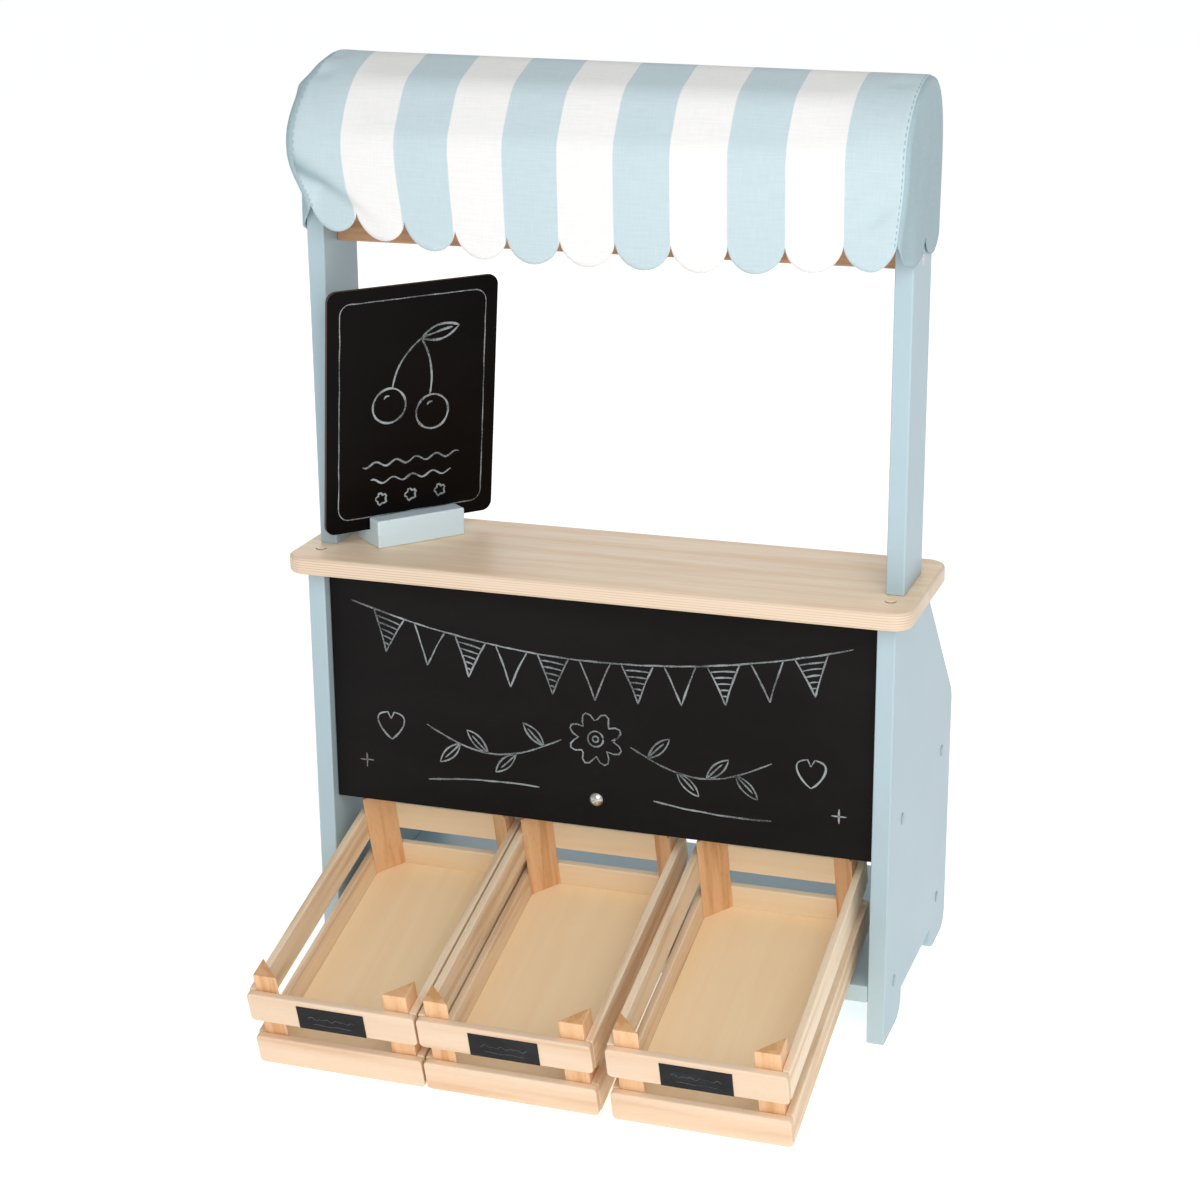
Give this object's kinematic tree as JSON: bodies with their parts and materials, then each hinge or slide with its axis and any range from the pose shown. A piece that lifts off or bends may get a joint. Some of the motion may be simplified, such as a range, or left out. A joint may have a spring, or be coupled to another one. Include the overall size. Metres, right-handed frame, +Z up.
{
  "type": "toy market stall",
  "caption": "Wooden toy market stall with a painted counter, front chalkboard, striped barrel awning on posts, tilted slatted crates and a small menu board.",
  "frame": {"origin": "on the floor, under the middle of the whole stall's box", "axes": "+Z up, -Y towards the customer's side with the crates, +X to the right seen from the front"},
  "size_m": [0.422, 0.3562, 0.6211],
  "materials": {
    "blue_paint": "satin light blue paint on board",
    "birch_plywood": "clear matt lacquer",
    "beech": "clear matt lacquer",
    "chalkboard_black": "matt black chalkboard paint",
    "awning_cloth": "plain weave",
    "zinc_steel": "zinc plated",
    "screw_cap": "moulded",
    "chalk_label": "matt foil"
  },
  "bodies": {
    "stall": {"side_panel_left": "blue_paint", "side_panel_right": "blue_paint", "bottom_shelf": "blue_paint", "middle_shelf": "blue_paint", "shelf_screws": "screw_cap", "counter_top": "birch_plywood", "counter_screws": "zinc_steel", "counter_plugs": "beech", "front_chalkboard": "chalkboard_black", "chalkboard_screw": "zinc_steel", "post_left": "blue_paint", "post_right": "blue_paint", "post_dowels": "beech", "cross_rail": "beech", "rail_screws": "zinc_steel", "roof_end_left": "beech", "roof_end_right": "beech", "roof_end_screws": "zinc_steel", "roof_bar_front_low": "beech", "roof_bar_front": "beech", "roof_bar_top": "beech", "roof_bar_rear": "beech", "roof_bar_rear_low": "beech", "awning_cover": "awning_cloth", "awning_end_left": "awning_cloth", "awning_end_right": "awning_cloth"},
    "crate_left": {"crate_left_floor": "birch_plywood", "crate_left_posts": "beech", "crate_left_front_slats": "birch_plywood", "crate_left_rear_slats": "birch_plywood", "crate_left_side_slats": "birch_plywood", "crate_left_label": "chalk_label"},
    "crate_middle": {"crate_middle_floor": "birch_plywood", "crate_middle_posts": "beech", "crate_middle_front_slats": "birch_plywood", "crate_middle_rear_slats": "birch_plywood", "crate_middle_side_slats": "birch_plywood", "crate_middle_label": "chalk_label"},
    "crate_right": {"crate_right_floor": "birch_plywood", "crate_right_posts": "beech", "crate_right_front_slats": "birch_plywood", "crate_right_rear_slats": "birch_plywood", "crate_right_side_slats": "birch_plywood", "crate_right_label": "chalk_label"},
    "menu_stand": {"menu_foot": "blue_paint"},
    "menu_panel": {"menu_board": "chalkboard_black"}
  },
  "joints": [
    {"name": "crate_left_pull", "type": "slide", "parent": "stall", "child": "crate_left", "axis": [0, -1, 0], "range_m": [0, 0.2]},
    {"name": "crate_middle_pull", "type": "slide", "parent": "stall", "child": "crate_middle", "axis": [0, -1, 0], "range_m": [0, 0.2]},
    {"name": "crate_right_pull", "type": "slide", "parent": "stall", "child": "crate_right", "axis": [0, -1, 0], "range_m": [0, 0.2]},
    {"name": "menu_stand_slide", "type": "slide", "parent": "stall", "child": "menu_stand", "axis": [1, 0, 0], "range_m": [0, 0.28]},
    {"name": "menu_board_lift", "type": "slide", "parent": "menu_stand", "child": "menu_panel", "axis": [0, 0, 1], "range_m": [0, 0.02]}
  ]
}
